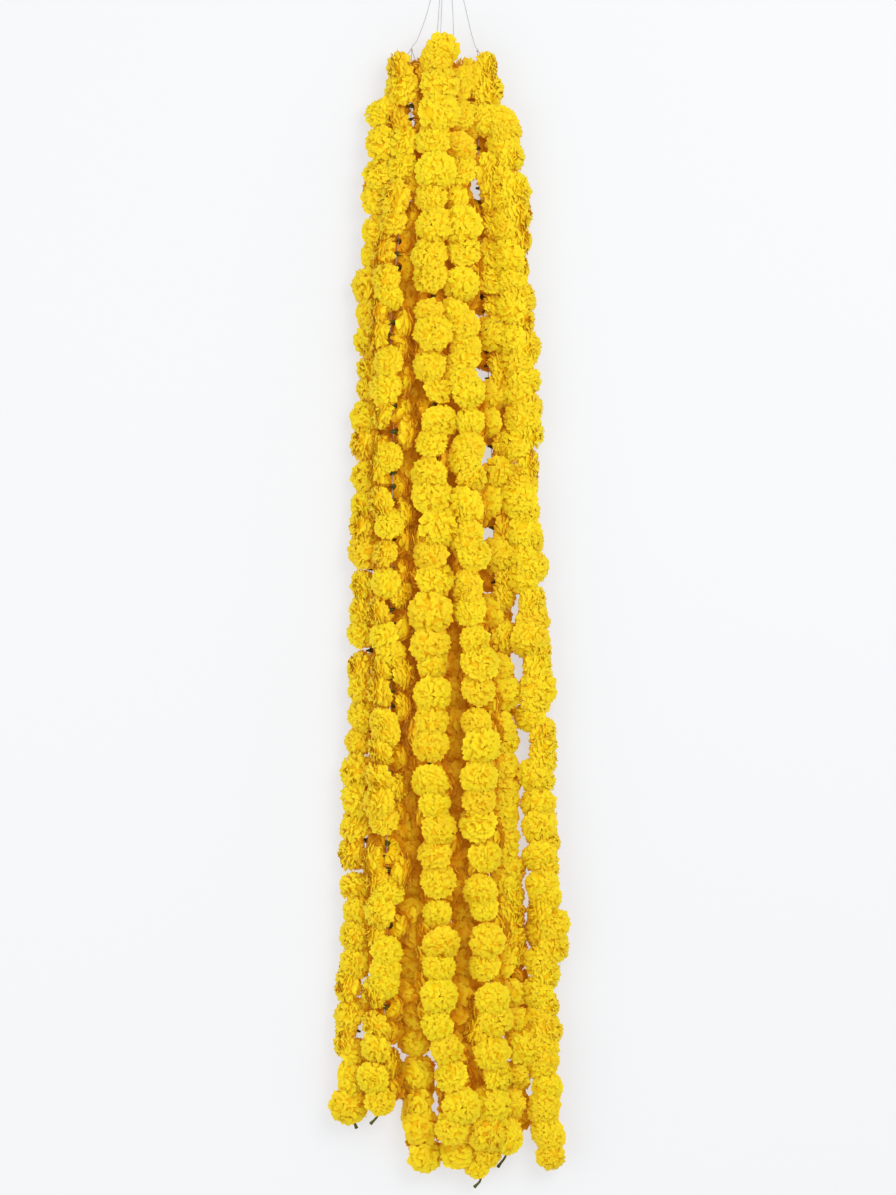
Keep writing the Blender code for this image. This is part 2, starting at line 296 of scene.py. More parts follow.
def add_node(tree, kind, links=(), **settings):
    """A node with its settings, and its inputs linked or set: (input, socket or value)."""
    node = tree.nodes.new(kind)
    for name, value in settings.items():
        setattr(node, name, value)
    for name, source in links:
        if isinstance(source, bpy.types.NodeSocket):
            tree.links.new(source, node.inputs[name])
        else:
            node.inputs[name].default_value = source
    return node


def ramp(tree, factor, stops):
    """A colour for each factor, blended between stops."""
    node = add_node(tree, "ShaderNodeValToRGB", [("Fac", factor)])
    elements = node.color_ramp.elements
    while len(elements) < len(stops):
        elements.new(1)
    for element, (at, colour) in zip(elements, stops):
        element.position = at
        element.color = (*colour, 1)
    return node.outputs["Color"]


def mixed(tree, factor, first, second, blend="MIX"):
    """Two colours mixed by a factor. Each of the three is a socket or a value."""
    node = add_node(tree, "ShaderNodeMix", data_type="RGBA", blend_type=blend)
    # A mix node has a set of sockets for each type of data: these are the colours' own.
    for index, value in ((0, factor), (6, first), (7, second)):
        if isinstance(value, bpy.types.NodeSocket):
            tree.links.new(value, node.inputs[index])
        elif index == 0:
            node.inputs[index].default_value = value
        else:
            node.inputs[index].default_value = (*value, 1)
    return node.outputs[2]


def attribute(tree, name):
    """A named value of a mesh's points."""
    return add_node(tree, "ShaderNodeAttribute", attribute_name=name).outputs["Fac"]


def noise(tree, scale, detail=3.0, roughness=0.6):
    """Patches of noise, finer the larger the scale is."""
    place = add_node(tree, "ShaderNodeTexCoord").outputs["Object"]
    links = [("Vector", place), ("Scale", scale), ("Detail", detail), ("Roughness", roughness)]
    return add_node(tree, "ShaderNodeTexNoise", links).outputs["Fac"]


def bumped(tree, shader, height, strength, distance):
    """Makes the surface look raised by a height, from 0 to 1, of a distance in metres."""
    links = [("Height", height), ("Strength", strength), ("Distance", distance)]
    bump = add_node(tree, "ShaderNodeBump", links)
    tree.links.new(bump.outputs["Normal"], shader.inputs["Normal"])


def petal_material():
    """Deep orange at a petal's foot, partly its own colour and partly painted shade for the gaps
    between petals, and lemon yellow at its edge, with fine ribs. Painted shade makes it more orange
    on petals inside the bundle, and a faint painted glow lights every petal."""
    made, tree, shader = new_material("marigold_petal", {
        "Roughness": 0.62,
        "Specular IOR Level": 0.12,
        "Sheen Weight": 0.12,
        "Sheen Roughness": 0.5,
        "Sheen Tint": (1.0, 0.86, 0.30, 1),
        "Subsurface Weight": 0.15,
        "Subsurface Radius": (0.7, 0.6, 0.05),
        "Subsurface Scale": 0.002,
        # A faint painted orange glow, standing in for the light that the petals pass on to each
        # other.
        "Emission Color": (1.0, 0.50, 0.02, 1),
        "Emission Strength": 0.055,
    })
    # A petal's colour from its foot to its edge. The foot's deep orange is partly the petal's own
    # colour and partly painted shade for the gaps between petals.
    colour = ramp(tree, attribute(tree, "edge"), [
        (0.00, (0.84, 0.35, 0.001)),
        (0.28, (0.905, 0.56, 0.001)),
        (0.50, (0.92, 0.68, 0.002)),
        (1.00, (0.935, 0.785, 0.018)),
    ])
    warmer = mixed(tree, 1.0, colour, (0.97, 0.80, 1.0), "MULTIPLY")
    colour = mixed(tree, attribute(tree, "warmth"), colour, warmer)
    # Painted shade: petals that the bundle hides from the sky are more orange.
    painted_shade_colour = mixed(tree, 1.0, colour, (0.97, 0.66, 0.8), "MULTIPLY")
    colour = mixed(tree, attribute(tree, "depth"), colour, painted_shade_colour)
    mottled = ramp(tree, noise(tree, 260.0), [(0.35, (0.96, 0.88, 0.7)), (0.62, (1, 1, 1))])
    colour = mixed(tree, 0.5, colour, mottled, "MULTIPLY")
    tree.links.new(colour, shader.inputs["Base Color"])
    across = add_node(tree, "ShaderNodeUVMap", uv_map="petal").outputs["UV"]
    ribs = add_node(tree, "ShaderNodeTexWave", [
        ("Vector", across), ("Scale", 2.6), ("Distortion", 1.4), ("Detail", 1.0),
    ], bands_direction="X").outputs["Fac"]
    bumped(tree, shader, ribs, 0.2, 0.0004)
    return made


def green_material():
    """The green of a calyx or a stalk, darker and browner in patches, and pale where cut."""
    made, tree, shader = new_material("green_calyx", {
        "Roughness": 0.6, "Specular IOR Level": 0.2,
    })
    colour = ramp(tree, noise(tree, 320.0), [
        (0.30, (0.050, 0.040, 0.005)),
        (0.55, (0.100, 0.100, 0.012)),
        (0.75, (0.200, 0.200, 0.030)),
    ])
    colour = mixed(tree, attribute(tree, "cut"), colour, (0.34, 0.36, 0.20))
    tree.links.new(colour, shader.inputs["Base Color"])
    bumped(tree, shader, noise(tree, 900.0), 0.3, 0.0003)
    return made


def thread_material():
    """Pale cotton thread, twisted from finer plies."""
    made, tree, shader = new_material("cotton_thread", {"Roughness": 0.8})
    along = add_node(tree, "ShaderNodeUVMap", uv_map="thread").outputs["UV"]
    twist = add_node(tree, "ShaderNodeTexWave", [
        ("Vector", along), ("Scale", 1.0), ("Distortion", 0.4),
    ], bands_direction="DIAGONAL").outputs["Fac"]
    colour = ramp(tree, twist, [(0.1, (0.36, 0.33, 0.38)), (0.8, (0.66, 0.63, 0.68))])
    tree.links.new(colour, shader.inputs["Base Color"])
    bumped(tree, shader, twist, 0.6, 0.0002)
    return made


def dry_material():
    """The patchy brown of a dry stalk."""
    made, tree, shader = new_material("dry_stalk", {"Roughness": 0.8})
    colour = ramp(tree, noise(tree, 500.0), [
        (0.35, (0.10, 0.040, 0.010)),
        (0.70, (0.30, 0.140, 0.035)),
    ])
    tree.links.new(colour, shader.inputs["Base Color"])
    return made


def floor_material():
    """A pale floor, whose glow keeps it pale between the strings."""
    return new_material("pale_floor", {
        "Base Color": (0.33, 0.334, 0.338, 1),
        "Roughness": 0.9,
        "Specular IOR Level": 0.1,
        "Emission Color": SKY_COLOUR,
        "Emission Strength": FLOOR_GLOW,
    })[0]


# ---------------------------------------------------------------- meshes

class Shape:
    """Points, triangles, UVs, normals and named values of the points, gathered part by part."""

    def __init__(self):
        self.points, self.faces, self.values, self.uvs, self.normals = [], [], {}, [], []
        self.count = 0

    def add(self, points, faces, uv=None, normals=None, **values):
        """One more part. Each of its named values is a number, or a number for each point."""
        points = np.asarray(points, float).reshape(-1, 3)
        self.points.append(points)
        self.faces.append(np.asarray(faces).reshape(-1, 3) + self.count)
        self.uvs.append(np.zeros((len(points), 2)) if uv is None else uv)
        if normals is not None:
            self.normals.append(normals)
        for name, value in values.items():
            self.values.setdefault(name, []).append(np.broadcast_to(value, len(points)))
        self.count += len(points)

    def joined(self):
        """The points, faces, UVs, normals if it has any, and values of all parts."""
        values = {name: np.concatenate(parts) for name, parts in self.values.items()}
        normals = np.concatenate(self.normals) if self.normals else None
        return (np.concatenate(self.points), np.concatenate(self.faces),
                np.concatenate(self.uvs), normals, values)


def make_piece(name, shape, finish, uv_name="petal"):
    """A shape as a mesh object that rides with the bundle."""
    points, faces, uvs, normals, values = shape.joined()
    mesh = bpy.data.meshes.new(name)
    mesh.vertices.add(len(points))
    mesh.vertices.foreach_set("co", points.astype(np.float32).ravel())
    mesh.loops.add(faces.size)
    mesh.loops.foreach_set("vertex_index", faces.astype(np.int32).ravel())
    mesh.polygons.add(len(faces))
    mesh.polygons.foreach_set("loop_start", np.arange(0, faces.size, 3, dtype=np.int32))
    mesh.update(calc_edges=True)
    mesh.shade_smooth()
    if normals is not None:
        mesh.normals_split_custom_set_from_vertices(normals)
    for key, value in values.items():
        layer = mesh.attributes.new(key, "FLOAT", "POINT")
        layer.data.foreach_set("value", value.astype(np.float32))
    layer = mesh.uv_layers.new(name=uv_name)
    layer.data.foreach_set("uv", uvs[faces.ravel()].astype(np.float32).ravel())
    mesh.materials.append(finish)
    piece = bpy.data.objects.new(name, mesh)
    bpy.context.scene.collection.objects.link(piece)
    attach(piece, "root")
    return piece


def grid_faces(columns, rows, wrapped=False):
    """Triangles of a grid of points, row by row. wrapped joins its last column to its first."""
    faces = []
    for row in range(rows - 1):
        for column in range(columns if wrapped else columns - 1):
            after = (column + 1) % columns
            below, above = row * columns, (row + 1) * columns
            faces += [(below + column, below + after, above + after),
                      (below + column, above + after, above + column)]
    return np.array(faces)


def widening_faces(counts):
    """Triangles of rows of points, each row with its own count of evenly spaced points."""
    faces, first = [], 0
    for count, after in zip(counts, counts[1:]):
        i = j = 0
        while i + 1 < count or j + 1 < after:
            at, beyond = first + i, first + count + j
            if i + 1 == count or (j + 1 < after and (j + 1) * (count - 1) <= (i + 1) * (after - 1)):
                faces.append((at, beyond + 1, beyond))
                j += 1
            else:
                faces.append((at, at + 1, beyond))
                i += 1
        first += count
    return np.array(faces)


# ---------------------------------------------------------------- flower heads

def on_head(theta, phi, reach):
    """A point inside or on a head: theta is from its crown, reach is 1 at its surface."""
    across = HEAD_RADIUS * reach * np.sin(theta) ** HEAD_ROUNDNESS
    up = HEAD_CENTRE + HEAD_HALF_HEIGHT * reach * np.cos(theta)
    return np.stack(np.broadcast_arrays(across * np.cos(phi), across * np.sin(phi), up), -1)


def away_from_middle(points):
    """Which way the head's surface faces at each point, if the head were smooth."""
    away = points - (0, 0, HEAD_CENTRE)
    away = away / (HEAD_RADIUS**2, HEAD_RADIUS**2, HEAD_HALF_HEIGHT**2)
    return away / np.linalg.norm(away, axis=-1, keepdims=True)


def add_petals(shape, random, count, across):
    """Petals spiral from the crown down to the underside. Each rises out of the core, leans
    over and ends in a wavy edge. They lean away from the crown, and any way on top of it."""

    def each(value):
        """Values of the petals, to go with those of the points on each."""
        return value[:, None]

    # Where each petal stands, closer together round the crown, and which way it leans.
    order = (np.arange(count) + 0.5) / count
    theta = np.arccos(1 - (1 - math.cos(LAST_PETAL)) * order**1.5)
    theta = np.clip(theta + random.normal(0, 0.05, count), 0.02, LAST_PETAL)
    phi = np.arange(count) * GOLDEN_ANGLE + random.normal(0, 0.12, count)
    top = on_head(theta, phi, 1.0)
    out = away_from_middle(top)
    level = np.stack([-np.sin(phi), np.cos(phi), np.zeros(count)], -1)
    down = np.cross(level, out)
    stray = random.normal(0, 1, count) * np.interp(theta, [0.15, 0.9], [2.4, 0.35])
    lean = down * np.cos(stray)[:, None] + level * np.sin(stray)[:, None]
    side = np.cross(out, lean)

    # On a petal, u runs across it from -1 to 1, and v from its foot at 0 to its edge at 1.
    # Its corners are cut back, and it widens and leans the more, the further up it is.
    u = np.concatenate([np.linspace(-1, 1, points) for points in across])[None, :]
    v = np.repeat([0.0, 0.55, 1.0], across)[None, :]
    length = v * (1 - 0.26 * u**2 * v)
    size = random.uniform(0.78, 1.18, count) * np.interp(theta, [0.0, 0.9, 1.6], [0.88, 1.0, 1.12])
    size = size * math.sqrt(IN_VIEW[1] / count)
    half_width = PETAL_HALF_WIDTH * each(size) * (0.36 + 0.64 * v**0.75) * u
    half_width = half_width * (1 - 0.10 * u**2 * v)
    rise = (-PETAL_DEPTH + each(random.normal(0, 0.0006, count)) * v
            + PETAL_DEPTH * (1.45 * length - 0.45 * length**2) - 0.0009 * u**2 * v**2)
    over = each(size * random.uniform(0.6, 1.25, count)) * PETAL_LEAN * length**1.6

    # Its edge is wavy, and it is creased a little all over.
    waves = each(random.uniform(0.9, 1.9, count))
    phase = each(random.uniform(0, 2 * math.pi, count))
    wave = np.sin(math.pi * waves * u + phase)
    crease = wave * 0.0011 * v**1.5 + random.normal(0, 0.00020, (count, u.size)) * v
    points = (each(top) + rise[..., None] * each(out)
              + (over + 0.7 * crease)[..., None] * each(lean)
              + half_width[..., None] * each(side) + crease[..., None] * each(out))

    # A petal's foot is less deep in colour the further down the head it stands, so less painted
    # shade shows between the lower petals.
    foot = each(np.interp(theta, [0.6, 1.2], [0.32, 0.54]))
    edge = np.clip(foot + (1 - foot) * v + 0.10 * wave * v, 0, 1)
    uv = np.stack(np.broadcast_arrays(0.5 + 0.5 * u, v + 0 * each(theta)), -1)
    faces = widening_faces(across)[:, ::-1][None]
    faces = faces + (np.arange(count) * u.size)[:, None, None]
    warmth = np.broadcast_to(each(random.uniform(0, 0.6, count)), edge.shape)
    shape.add(points, faces, uv.reshape(-1, 2), edge=edge.ravel(), warmth=warmth.ravel())


def add_claws(shape, random):
    """The narrow feet of the lowest petals, which fan out from the calyx's mouth."""
    phi = (np.arange(CLAWS) + random.uniform(-0.25, 0.25, CLAWS)) / CLAWS * 2 * math.pi
    half = math.pi / CLAWS * 0.8
    rows = []
    # How far out, how high and how wide a claw is at its foot, its middle and its end.
    for reach, height, spread in ((0.0036, 0.0062, 1.0), (0.0110, 0.0036, 0.9),
                                  (0.0172, 0.0064, 1.1)):
        radius = reach * random.uniform(0.93, 1.07, CLAWS)
        rise = height + random.normal(0, 0.0005, CLAWS)
        for turn in (-half * spread, half * spread):
            rows.append(np.stack([radius * np.cos(phi + turn), radius * np.sin(phi + turn),
                                  rise], -1))
    faces = grid_faces(2, 3)[None] + (np.arange(CLAWS) * len(rows))[:, None, None]
    edge = np.tile(np.repeat([0.22, 0.50, 0.88], 2), CLAWS)
    uv = np.tile([(x, y) for y in (0, 0.5, 1) for x in (0, 1)], (CLAWS, 1))
    shape.add(np.stack(rows, 1), faces, uv, edge=edge, warmth=0.2)


def add_core(shape, random):
    """What fills the head between its petals: the lumpy mass of their feet."""
    around, down = 13, 8
    theta = np.linspace(0.05, math.pi - 0.25, down)[:, None]
    phi = np.linspace(0, 2 * math.pi, around, endpoint=False)[None, :]
    phi = phi + np.arange(down)[:, None] * math.pi / around
    skin = on_head(theta, phi, 1.0)
    depth = CORE_DEPTH + random.uniform(-0.0010, 0.0010, (down, around, 1))
    shape.add(skin - depth * away_from_middle(skin),
              grid_faces(around, down, wrapped=True)[:, ::-1], edge=0.42,
              warmth=random.uniform(0.2, 0.8, down * around))


def point_normals(points, faces):
    """The mean normal of the faces round each point, larger faces counting more."""
    corners = points[faces]
    across = np.cross(corners[:, 1] - corners[:, 0], corners[:, 2] - corners[:, 0])
    normals = np.zeros_like(points)
    for corner in range(3):
        np.add.at(normals, faces[:, corner], across)
    return normals / np.maximum(np.linalg.norm(normals, axis=1, keepdims=True), 1e-12)


def grow_head(seed, petals, across):
    """One head. Its petals are thin and pass light on to each other, so it is shaded partly
    as one soft ball."""
    shape = Shape()
    random = chance(HEAD_SEED, seed)
    add_core(shape, random)
    add_petals(shape, random, petals, across)
    add_claws(shape, random)
    points, faces, uvs, _, values = shape.joined()
    away = away_from_middle(points)
    soft = SOFTNESS * np.interp(away[:, 2], [0.10, 0.60], [0, 1])[:, None]
    normals = (1 - soft) * point_normals(points, faces) + soft * away
    normals /= np.linalg.norm(normals, axis=1, keepdims=True)
    return points, faces, uvs, normals, values


def grow_calyx():
    """A green cup, with the cut foot of its stalk below the thread."""
    # Its radius and height, from the foot to the mouth.
    profile = [(0.0002, -0.0062), (0.0015, -0.0060), (0.0017, -0.0035), (0.0029, 0.0),
               (0.0038, 0.0045), (0.0042, 0.0080), (0.0030, 0.0090)]
    around = 8
    phi = np.linspace(0, 2 * math.pi, around, endpoint=False)
    points = [(r * math.cos(a), r * math.sin(a), z) for r, z in profile for a in phi]
    shape = Shape()
    shape.add(points, grid_faces(around, len(profile), wrapped=True))
    return shape.joined()


# ---------------------------------------------------------------- strings

def smooth_through(knots, values, at):
    """A curve through the values, which has no corners: cubic from each knot to the next."""
    slopes = np.gradient(values, knots, axis=0)
    at = np.clip(at, knots[0], knots[-1])
    span = np.clip(np.searchsorted(knots, at) - 1, 0, len(knots) - 2)
    width = knots[span + 1] - knots[span]
    t = ((at - knots[span]) / width)[:, None]
    width = width[:, None]
    return (
        (2 * t**3 - 3 * t**2 + 1) * values[span]
        + (t**3 - 2 * t**2 + t) * width * slopes[span]
        + (3 * t**2 - 2 * t**3) * values[span + 1]
        + (t**3 - t**2) * width * slopes[span + 1]
    )


def flower_places(number):
    """Where each flower of a string sits on its thread, from the free end to the knot end."""
    route = np.array(ROUTES[number][::-1], float)
    ends = [round((y - FLOWER_OFFSET) / FLOWER_PITCH) for y in route[[0, -1], 1]]
    counts = np.arange(ends[0], ends[1] + 1)
    y = counts * FLOWER_PITCH + FLOWER_OFFSET
    across = smooth_through(route[:, 1], route[:, [0, 2]], y)
    return counts, np.stack([across[:, 0], y, across[:, 1]], -1)


def head_axes(facing, tilt, thread):
    """A head's own axes: across the thread, along it, and the way it opens."""
    opens = np.array((math.cos(facing), math.sin(tilt), math.sin(facing)))
    opens /= np.linalg.norm(opens)
    along = thread - opens * (thread @ opens)
    along /= np.linalg.norm(along)
    return np.stack([np.cross(along, opens), along, opens])


def pose_flower(number, count, turn, end, random):
    """The way a flower faces and how it leans along its thread, in radians, and its size."""
    most = LESS_STRAY.get(number, MOST_STRAY)
    stray = np.clip(random.normal(0, STRAY), -most, most)
    between = TURNS_BETWEEN.get(number, turn + 180)
    facing = math.radians((between if count % 2 else turn) + stray)
    facing += math.radians(LIFT[number]) * math.cos(facing)
    tilt = random.normal(0, LEAN)
    size = random.normal(*SIZE)
    for first, last, way, run_size in RUNS.get(number, ()):
        if first <= count <= last:
            facing, size = math.radians(way + stray / 3), run_size
    if end == "free":
        facing = math.pi / 2 + math.radians(stray / 2)
        tilt = FREE_END_TILTS.get(number, END_TILT)
    elif end == "knot":
        facing = math.radians(KNOT_END_FACINGS.get(number, 90))
        tilt = -KNOT_END_TILTS.get(number, END_TILT)
    return facing, tilt, HEAD_SIZES.get((number, count), size)


def place_flowers(number, outer_heads, inner_heads, calyx):
    """The flowers of a string: the parts of each head as placed, and the points of its calyx."""
    counts, places = flower_places(number)
    threads = np.gradient(places, axis=0)
    turns = np.interp(places[:, 1], *zip(*TURNS[number]))
    ends = {0: "free", len(counts) - 1: "knot"}
    flowers = []
    for index, (count, place, thread, turn) in enumerate(zip(counts, places, threads, turns)):
        random = chance(FLOWER_SEED, number, index)
        facing, tilt, size = pose_flower(number, count, turn, ends.get(index), random)
        axes = head_axes(facing, tilt, thread / np.linalg.norm(thread))
        inside = number in INSIDE_STRINGS or math.sin(facing) < FACES_DOWN
        heads = inner_heads if inside else outer_heads
        points, faces, uvs, normals, values = heads[random.integers(len(heads))]
        spin = random.uniform(0, 2 * math.pi)
        spun = np.array([(math.cos(spin), math.sin(spin), 0),
                         (-math.sin(spin), math.cos(spin), 0), (0, 0, 1)])
        aside = random.normal(0, ASIDE, 3)
        placed = (points @ spun * size + aside) @ axes + place
        placed[:, 2] = np.maximum(placed[:, 2], PRESSED_Z)
        warmth = np.clip(values["warmth"] + random.normal(0, WARMTH), 0, 1)
        cup = (calyx[0] * random.uniform(*CALYX_SIZES)) @ axes + place
        cup[:, 2] = np.maximum(cup[:, 2], PRESSED_Z)
        flowers.append((placed, faces, uvs, (normals @ spun) @ axes, values["edge"], warmth, cup))
    return flowers


class Outline:
    """The heights of the bundle's top, and how much of the sky they hide, which sets the painted
    shade on each petal.
    """

    def __init__(self, points):
        margin = 2 * max(LOOKS)
        self.corner = points[:, :2].min(axis=0) - margin
        size = (points[:, :2].max(axis=0) - self.corner + margin) / CELL
        self.tops = np.zeros(size.astype(int))
        np.maximum.at(self.tops, self.cells(points[:, :2]), points[:, 2])

    def cells(self, places):
        """The cell that each place is in, as rows and columns."""
        return tuple(((places - self.corner) / CELL).astype(int).T)

    def depth(self, points):
        """How much painted shade a petal gets: 0 for petals in the open, above the bundle or under
        it, and 1 for those deep in it.
        """
        # The steepest rise in each direction hides as much as its sine.
        hidden = 0
        for turn in np.linspace(0, 2 * math.pi, DIRECTIONS, endpoint=False):
            slope = 0
            for reach in LOOKS:
                place = points[:, :2] + (reach * math.cos(turn), reach * math.sin(turn))
                slope = np.maximum(slope, (self.tops[self.cells(place)] - points[:, 2]) / reach)
            hidden = hidden + slope / np.sqrt(1 + slope**2) / DIRECTIONS
        # Painted shade grows with the hidden share of the sky, and fades out near the surface.
        deep = np.minimum((hidden - SHADE_FROM) / SHADE_OVER, points[:, 2] / SHADE_ABOVE)
        return np.clip(deep, 0, 1)


def build_string(number, flowers, calyx, outline, petals, green):
    """The pieces of a string: its heads, some to a piece, and its calyxes."""
    calyxes = Shape()
    groups = []
    for index, (points, faces, uvs, normals, edge, warmth, cup) in enumerate(flowers):
        if index % HEADS_A_PIECE == 0:
            groups.append(Shape())
        # Each head's petals carry how much painted shade they get, as their depth.
        groups[-1].add(points, faces, uvs, normals, edge=edge, warmth=warmth,
                       depth=outline.depth(points))
        calyxes.add(cup, calyx[1], cut=0.0)
    for order, group in enumerate(groups, 1):
        piece = make_piece(f"string_{number}_flowers_{order:02d}", group, petals)
        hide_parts(f"string_{number}_blossoms")
    make_piece(f"string_{number}_calyxes", calyxes, green)


# ---------------------------------------------------------------- threads, knots, stalks

def string_tips(number):
    """The free end of a string, and its knot end, which its thread leaves."""
    places = flower_places(number)[1]
    return (Vector(places[0]) - Vector((0, STRING_TIP, 0)),
            Vector(places[-1]) + Vector((0, STRING_TIP, 0)))


def smooth_path(points, step):
    """Points every step or so along a smooth curve, none of them under the surface."""
    points = np.array([tuple(point) for point in points], float)
    lengths = np.linalg.norm(np.diff(points, axis=0), axis=1)
    knots = np.concatenate([[0], np.cumsum(lengths)])
    at = np.linspace(0, knots[-1], max(3, round(knots[-1] / step)))
    path = smooth_through(knots, points, at)
    path[:, 2] = np.maximum(path[:, 2], LAID_THREAD_Z)
    return path


def add_tube(shape, path, radii, around=8, closed=False, **values):
    """A tube along a path, capped, or closed to a ring. Its UV turns round it and runs along
    it."""
    path = np.asarray(path, float)
    radii = np.broadcast_to(radii, len(path))
    if closed:
        forward = np.roll(path, -1, axis=0) - np.roll(path, 1, axis=0)
    else:
        forward = np.gradient(path, axis=0)
    forward /= np.linalg.norm(forward, axis=1, keepdims=True)
    up = np.array((0.0, 0.0, 1.0)) if abs(forward[0, 2]) < 0.9 else np.array((1.0, 0.0, 0.0))
    # Each ring turns no more than it has to from the one before.
    rings, uv = [], []
    run = 0.0
    for index, (place, way, radius) in enumerate(zip(path, forward, radii)):
        up = up - way * (way @ up)
        up /= np.linalg.norm(up)
        side = np.cross(way, up)
        run += np.linalg.norm(place - path[index - 1]) if index else 0.0
        for step in range(around):
            turn = 2 * math.pi * step / around
            rings.append(place + radius * (math.cos(turn) * side + math.sin(turn) * up))
            uv.append((step / around, run / (2 * math.pi * max(radius, 1e-4))))
    faces = grid_faces(around, len(path), wrapped=True)
    count = len(path) * around
    if closed:
        last = count - around
        for step in range(around):
            after = (step + 1) % around
            faces = np.vstack([faces, [(last + step, last + after, after),
                                       (last + step, after, step)]])
    else:
        rings += [path[0], path[-1]]
        uv += [(0.5, 0.0), (0.5, uv[-1][1])]
        caps = [((step + 1) % around, step, count) for step in range(around)]
        caps += [(count - around + step, count - around + (step + 1) % around, count + 1)
                 for step in range(around)]
        faces = np.vstack([faces, caps])
    shape.add(rings, faces, np.array(uv), **values)


def thread_piece(name, points, finish):
    """A thread that runs smoothly through the points: its piece and its path."""
    path = smooth_path(points, THREAD_STEP)
    shape = Shape()
    add_tube(shape, path, THREAD_DIAMETER / 2)
    piece = make_piece(name, shape, finish, "thread")
    return piece, path


def tie_knot_centre(number):
    """The middle of the tie knot on a string's tip."""
    return string_tips(number)[1] + Vector((0, SEAT + TIE_KNOT_RADIUS, 0))


def thread_start(number):
    """Where the thread of a string begins: past its tip, and past a tie knot if it has one."""
    if number in TIE_KNOTS.values():
        return tie_knot_centre(number) + Vector((0, TIE_KNOT_RADIUS + 2 * SEAT, 0))
    return string_tips(number)[1] + Vector((0, 2 * SEAT, 0))


def knot_piece(name, centre, half, strand, winds, finish):
    """A strand wound round and round a core into a tight barrel, which runs along Y."""
    # The strand has 14 points to a turn, and the barrel narrows towards its ends.
    shape = Shape()
    at = np.linspace(-1, 1, winds * 14)
    turn = math.pi * winds * (at + 1)
    bulge = np.sqrt(1 - (0.72 * at) ** 2)
    path = np.stack([(half[0] - strand) * bulge * np.cos(turn), (half[1] - strand) * at,
                     (half[2] - strand) * bulge * np.sin(turn)], -1)
    add_tube(shape, path + centre, strand, around=6)
    core = np.linspace(-0.86, 0.86, 9)
    spine = np.stack([0 * core, half[1] * core, 0 * core], -1) + centre
    add_tube(shape, spine, (half[2] - strand) * np.sqrt(1 - core**2), around=8)
    piece = make_piece(f"wound_{name}", shape, finish, "thread")
    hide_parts(name)
    return piece


def loop_piece(finish):
    """The loop that hangs the bundle: from the knot down to the surface, and back."""
    turns = np.linspace(0, 2 * math.pi, 48, endpoint=False)
    start = KNOT.y + KNOT_SIZE.y + SEAT + THREAD_DIAMETER / 2
    rise = (0.5 + 0.5 * np.cos(turns)) ** LOOP_FALL
    path = np.stack([KNOT.x + LOOP_WIDTH / 2 * np.sin(turns),
                     start + LOOP_LENGTH / 2 * (1 - np.cos(turns)),
                     LAID_THREAD_Z + rise * (KNOT.z - LAID_THREAD_Z)], -1)
    shape = Shape()
    add_tube(shape, path, THREAD_DIAMETER / 2, closed=True)
    loop = make_piece("thread_loop", shape, finish, "thread")
    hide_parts("hanging_loop")
    return loop


def free_thread_points(number):
    """The points of a string's free thread, up to the knot or to the tie knot it ends at."""
    start = thread_start(number)
    if number in HANGING_THREADS:
        between, x = HANGING_THREADS[number]
        aside = (x - KNOT.x) / KNOT_SIZE.x
        end = (x, KNOT.y - KNOT_SIZE.y * math.sqrt(1 - aside**2) - SEAT, KNOT.z)
    else:
        # The threads of strings 1 and 3 end side by side.
        between = LINK_THREADS[number]
        aside = -THREAD_DIAMETER if number == 1 else THREAD_DIAMETER
        end = tie_knot_centre(TIED_AT[number])
        end = end + Vector((aside, 0, -TIE_KNOT_RADIUS - SEAT))
    return [start, *between, end]


def build_threads(finish):
    """The threads through the flowers, and the free threads from their tips to the knot."""
    for name, number in TIE_KNOTS.items():
        size = (TIE_KNOT_RADIUS,) * 3
        knot_piece(name, tie_knot_centre(number), size, TIE_STRAND, TIE_WINDS,
                                    finish)
    hanging_knot = knot_piece("hanging_knot", KNOT, KNOT_SIZE, KNOT_STRAND, KNOT_WINDS, finish)
    loop = loop_piece(finish)

    for number in ROUTES:
        places = flower_places(number)[1]
        free, tied = string_tips(number)
        thread_piece(f"string_{number}_inner_thread", [free, *places, tied], finish)
        points = free_thread_points(number)
        piece, path = thread_piece(f"string_{number}_free_thread", points, finish)
        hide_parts(f"string_{number}_thread")


def build_stalks(green, brown):
    """Cut stalks of the last flowers, and the dry stalk that lies on top."""
    for number, reach in STALKS.items():
        tip = string_tips(number)[0]
        flower = flower_places(number)[1][0]
        path = smooth_path([flower, tip, tip + Vector(reach)], STALK_STEP)
        radii = np.interp(np.linspace(0, 1, len(path)), *zip(*STALK_RADII))
        shape = Shape()
        add_tube(shape, path, radii, around=12, cut=0.0)
        rim = path[-1] - path[-2]
        rim *= CUT_HALF_DEPTH / np.linalg.norm(rim)
        add_tube(shape, [path[-1] - rim, path[-1] + rim], CUT_RADIUS, around=12, cut=1.0)
        piece = make_piece(f"string_{number}_cut_stalk", shape, green)
        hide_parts(f"string_{number}_stalk")
    shape = Shape()
    path = smooth_path(DRY_STALK, DRY_STEP)
    at = np.linspace(0, 1, len(path))
    add_tube(shape, path, DRY_RADIUS * (1 - 0.35 * at + 0.15 * np.sin(17 * at)), around=8)
    twig = smooth_path([path[TWIG_FROM] + reach for reach in TWIG], TWIG_STEP)
    add_tube(shape, twig, TWIG_RADIUS, around=6)
    piece = make_piece("dry_stalk_on_top", shape, brown)
    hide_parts("dry_stalk")


# ---------------------------------------------------------------- stage

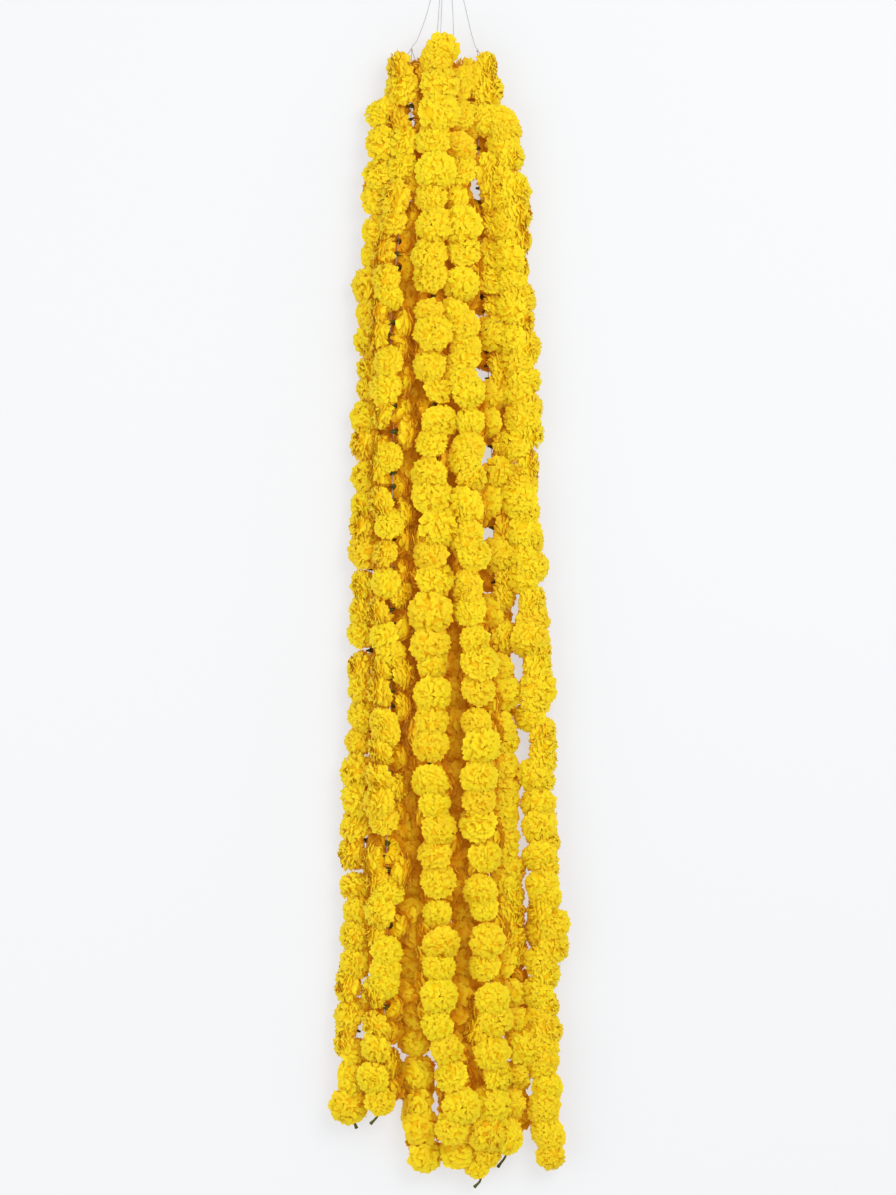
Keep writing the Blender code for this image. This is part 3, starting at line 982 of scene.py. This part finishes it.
def softbox(name, place, width, power, colour):
    """A square light of this width in metres and power in watts, aimed at the origin."""
    light = bpy.data.lights.new(name, "AREA")
    light.shape = "SQUARE"
    light.size = width
    light.energy = power
    light.color = colour
    box = bpy.data.objects.new(name, light)
    box.location = place
    aim = -box.location
    box.rotation_euler = aim.to_track_quat("-Z", "Y").to_euler()
    bpy.context.scene.collection.objects.link(box)


def build_stage():
    """A pale floor, soft light from both sides, more of it from the right, and a camera
    straight above."""
    mesh = bpy.data.meshes.new("floor")
    x = y = FLOOR_HALF
    mesh.from_pydata([(-x, -y, 0), (x, -y, 0), (x, y, 0), (-x, y, 0)], [], [(0, 1, 2, 3)])
    mesh.materials.append(floor_material())
    floor = bpy.data.objects.new("floor", mesh)
    bpy.context.scene.collection.objects.link(floor)

    world = bpy.data.worlds.new("studio")
    bpy.context.scene.world = world
    world.use_nodes = True
    sky = world.node_tree.nodes["Background"]
    sky.inputs["Color"].default_value = SKY_COLOUR
    sky.inputs["Strength"].default_value = SKY_STRENGTH
    softbox("key", place=(1.1, 1.1, 2.7), width=1.6, power=34.5, colour=(1.0, 0.985, 0.96))
    softbox("fill", place=(-2.2, -0.4, 2.2), width=2.5, power=21.0, colour=(0.985, 0.99, 1.0))

    camera = bpy.data.cameras.new("camera")
    camera.sensor_width = 36.0
    camera.lens = camera.sensor_width * CAMERA_DISTANCE / VIEW_LENGTH
    camera.clip_end = 50.0
    eye = bpy.data.objects.new("camera", camera)
    eye.location = (*VIEW_CENTRE, VIEW_HEIGHT + CAMERA_DISTANCE)
    bpy.context.scene.collection.objects.link(eye)
    bpy.context.scene.camera = eye
    bpy.context.scene.view_settings.view_transform = "Standard"


def main():
    build_stage()
    build_threads(thread_material())
    petals, green = petal_material(), green_material()
    build_stalks(green, dry_material())
    outer_heads, inner_heads = (
        [grow_head(seed, count, across) for seed in range(grown)]
        for grown, count, across in (IN_VIEW, INSIDE))
    calyx = grow_calyx()
    flowers = {number: place_flowers(number, outer_heads, inner_heads, calyx)
               for number in ROUTES}
    outline = Outline(np.concatenate([flower[0] for string in flowers.values()
                                      for flower in string]))
    for number in ROUTES:
        build_string(number, flowers[number], calyx, outline, petals, green)


main()
